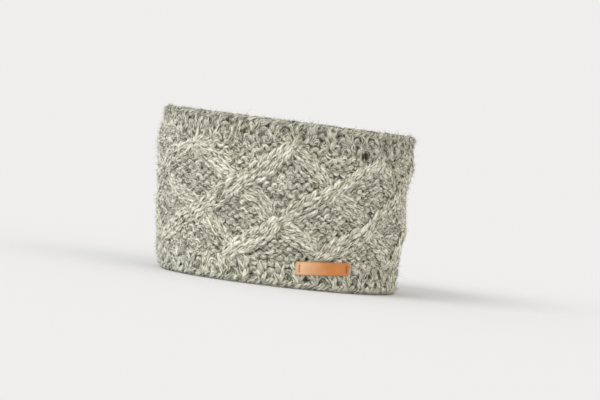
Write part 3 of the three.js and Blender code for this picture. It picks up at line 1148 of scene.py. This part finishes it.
def label_plate(material):
    """The plate: with s running from -1 to 1 either way, grid lines crowd towards the edges as
    sin(pi s / 2), and each row's length follows the round corners. The back swells as
    sin(a x along + b) cos(c x up), and the edge of the face falls away as a quarter circle."""
    s = np.sin(np.linspace(-1, 1, LABEL_COLUMNS + 1) * math.pi / 2)
    t = np.sin(np.linspace(-1, 1, LABEL_ROWS + 1) * math.pi / 2)
    up = np.broadcast_to(t[:, None] * LABEL_HEIGHT / 2, (len(t), len(s)))
    into_corner = np.maximum(0, np.abs(up) - LABEL_HEIGHT / 2 + LABEL_CORNER)
    bow = np.sqrt(np.maximum(0, LABEL_CORNER**2 - into_corner**2))
    reach = LABEL_LENGTH / 2 - LABEL_CORNER + bow
    along = s * reach
    inside = np.clip(-beyond_label(along, up) / EDGE_ROUND, 0, 1)
    rounded = EDGE_LEVEL + (1 - EDGE_LEVEL) * np.sqrt(1 - (1 - inside) ** 2)
    dents = sum(np.exp(-((along - x) ** 2 + (up - y) ** 2) / DENT_WIDTH**2) for x, y in HOLES)
    swell = SWELL * np.sin(along * SWELL_ALONG + SWELL_START) * np.cos(up * SWELL_UP)
    back = LABEL_BACK + swell
    face = back + LABEL_THICKNESS * rounded - DENT_DEPTH * dents
    sheets = [label_point(along, up, depth).reshape(-1, 3) for depth in (back, face)]
    vertices = np.concatenate(sheets)

    width, layer = len(s), len(s) * len(t)
    row, column = np.meshgrid(np.arange(LABEL_ROWS), np.arange(LABEL_COLUMNS), indexing="ij")
    corner = (row * width + column).ravel()
    front = np.stack([corner, corner + 1, corner + 1 + width, corner + width], axis=-1) + layer
    rear = np.stack([corner, corner + width, corner + 1 + width, corner + 1], axis=-1)
    grid = np.arange(layer).reshape(len(t), width)
    rim = np.concatenate([grid[0, :-1], grid[:-1, -1], grid[-1, :0:-1], grid[:0:-1, 0]])
    after = np.roll(rim, -1)
    sides = np.stack([rim, after, after + layer, rim + layer], axis=-1)
    faces = np.concatenate([front, rear, sides])
    flat = np.stack([along.ravel(), up.ravel()], axis=-1)
    uv = np.concatenate([flat, flat])[faces.ravel()]
    return add_piece("leather_label_plate", vertices, faces, material, uv)


print("holes for the thread:", len(HOLES))

# %% [markdown]
# ## Leather
#
# Vegetable-tanned leather is never one colour. Here a painted highlight makes the left end pale and
# pinkish, and it changes slowly to deep orange towards the other end, with clouds and a fine grain
# on top.
# The pattern is laid on the label's own coordinates, in metres along it and up it from its centre.

# %% The leather's finish
# painted highlight: the pale pinkish colour of the label's left end
LEATHER_PAINTED_HIGHLIGHT = (0.83, 0.53, 0.32)
LEATHER_DEEP = (0.60, 0.226, 0.052)
LEATHER_RUBBED = (0.36, 0.12, 0.04)
LEATHER_CUT = (0.80, 0.60, 0.40)
CLOUD_STOPS = ((0.25, (0.72, 0.68, 0.62)), (0.6, WHITE))
PAINTED_HIGHLIGHT_FADES_FROM = -23 * MM
PAINTED_HIGHLIGHT_FADES_TO = 6 * MM
GRAIN_SCALE = 2600.0
GRAIN_SHARE = 0.22
CLOUD_SCALE = 130.0
CLOUD_SHARE = 0.5
RUBBED_FROM = -1.2 * MM
RUBBED_TO = -0.3 * MM
RUBBED_SHARE = 0.35
CUT_FROM = -0.05 * MM
CUT_TO = -0.01 * MM


def leather_material(name):
    """Tan leather: a painted highlight makes the left end pale, and it turns deep orange towards the
    right, clouded by noise under a fine grain. It is rubbed darker along its edges, and the cut at
    both ends is pale."""
    constants = {"Roughness": 0.47, "Specular IOR Level": 0.45}
    material, start, shader = new_material(name, constants)
    uv = start.node("ShaderNodeUVMap", {"uv_map": "along"})
    along, up = uv.part(0), uv.part(1)
    grain = start.noise(uv, GRAIN_SCALE, 3.0, 0.6)
    cloud = start.noise(uv, CLOUD_SCALE, 3.0, 0.55)
    # painted highlight: pale at the left end, fading into the deep orange
    colour = along.step(PAINTED_HIGHLIGHT_FADES_FROM, PAINTED_HIGHLIGHT_FADES_TO).mix(LEATHER_PAINTED_HIGHLIGHT, LEATHER_DEEP)
    shade = (cloud - 0.5) * CLOUD_SHARE + (grain - 0.5) * GRAIN_SHARE + 0.5
    colour = colour.tinted(shade.ramp(*CLOUD_STOPS))
    past_end = along.abs() - LABEL_LENGTH / 2
    past_side = up.abs() - LABEL_HEIGHT / 2
    rubbed = past_end.math("MAXIMUM", past_side).step(RUBBED_FROM, RUBBED_TO) * RUBBED_SHARE
    colour = rubbed.mix(colour, LEATHER_RUBBED)
    colour = past_end.step(CUT_FROM, CUT_TO).mix(colour, LEATHER_CUT)
    relief = {"Strength": 0.35, "Distance": 0.0002, "Height": grain + cloud}
    connect(shader, Base_Color=colour, Normal=start.node("ShaderNodeBump", None, relief))
    return material


leather = leather_material("tan leather")
plate = label_plate(leather)
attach(plate, "root")
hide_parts("leather_label")

# %% [markdown]
# ## The label's thread
#
# Three short stitches of waxed thread hold each end of the label, one above the other. Each comes
# out of a hole, lies over the leather and goes down the next hole, like a low bridge.

# %% Six stitches
THREAD_RADIUS = 0.42 * MM
THREAD_SIDES = 8
THREAD_POINTS = 13
THREAD_ROOT = 0.6
THREAD_LIFT = 0.95 * MM
THREAD_THIN = 0.02
THREAD_ARCH = 0.6
THREAD_COLOUR = (0.46, 0.13, 0.07)


def thread_stitches():
    """All the bridges as closed tubes. With t from 0 to 1, the thread rises as a power of sin(pi t),
    and its radius shrinks as the root of sin(pi t) to a tiny cap inside the leather. Three faces of
    four corners close the eight-sided ring at each end."""
    t = np.linspace(0, 1, THREAD_POINTS)
    arch = np.sin(math.pi * t).clip(0)
    depth = LABEL_BACK + LABEL_THICKNESS * THREAD_ROOT + THREAD_LIFT * arch**THREAD_ARCH
    radius = THREAD_RADIUS * np.sqrt(arch).clip(THREAD_THIN)
    corner = np.arange(THREAD_SIDES) * 2 * math.pi / THREAD_SIDES
    point, place = np.indices((THREAD_POINTS - 1, THREAD_SIDES))
    after = (place + 1) % THREAD_SIDES
    ring, next_ring = point * THREAD_SIDES, (point + 1) * THREAD_SIDES
    quads = np.stack([ring + place, ring + after, next_ring + after, next_ring + place], axis=-1)
    cap = np.array([(0, 1, 2, 7), (2, 3, 6, 7), (3, 4, 5, 6)])
    last_cap = cap + (THREAD_POINTS - 1) * THREAD_SIDES
    bridge = np.concatenate([quads.reshape(-1, 4), cap[:, ::-1], last_cap])
    vertices, faces = [], []
    for end in (-1, 1):
        along = end * (LABEL_LENGTH / 2 - HOLE_INSET) + radius[:, None] * np.sin(corner)
        high = depth[:, None] + radius[:, None] * np.cos(corner)
        for hole in HOLE_UPS[:-1]:
            up = hole + t[:, None] * HOLE_SPACING + 0 * along
            faces.append(bridge + len(vertices) * THREAD_POINTS * THREAD_SIDES)
            vertices.append(label_point(along, up, high).reshape(-1, 3))
    return np.concatenate(vertices), np.concatenate(faces)


thread_vertices, thread_faces = thread_stitches()
thread_finish = {"Base Color": (*THREAD_COLOUR, 1.0), "Roughness": 0.6}
thread = new_material("waxed thread", thread_finish)[0]
stitches = add_piece("label_stitches", thread_vertices, thread_faces, thread)
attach(stitches, "root")
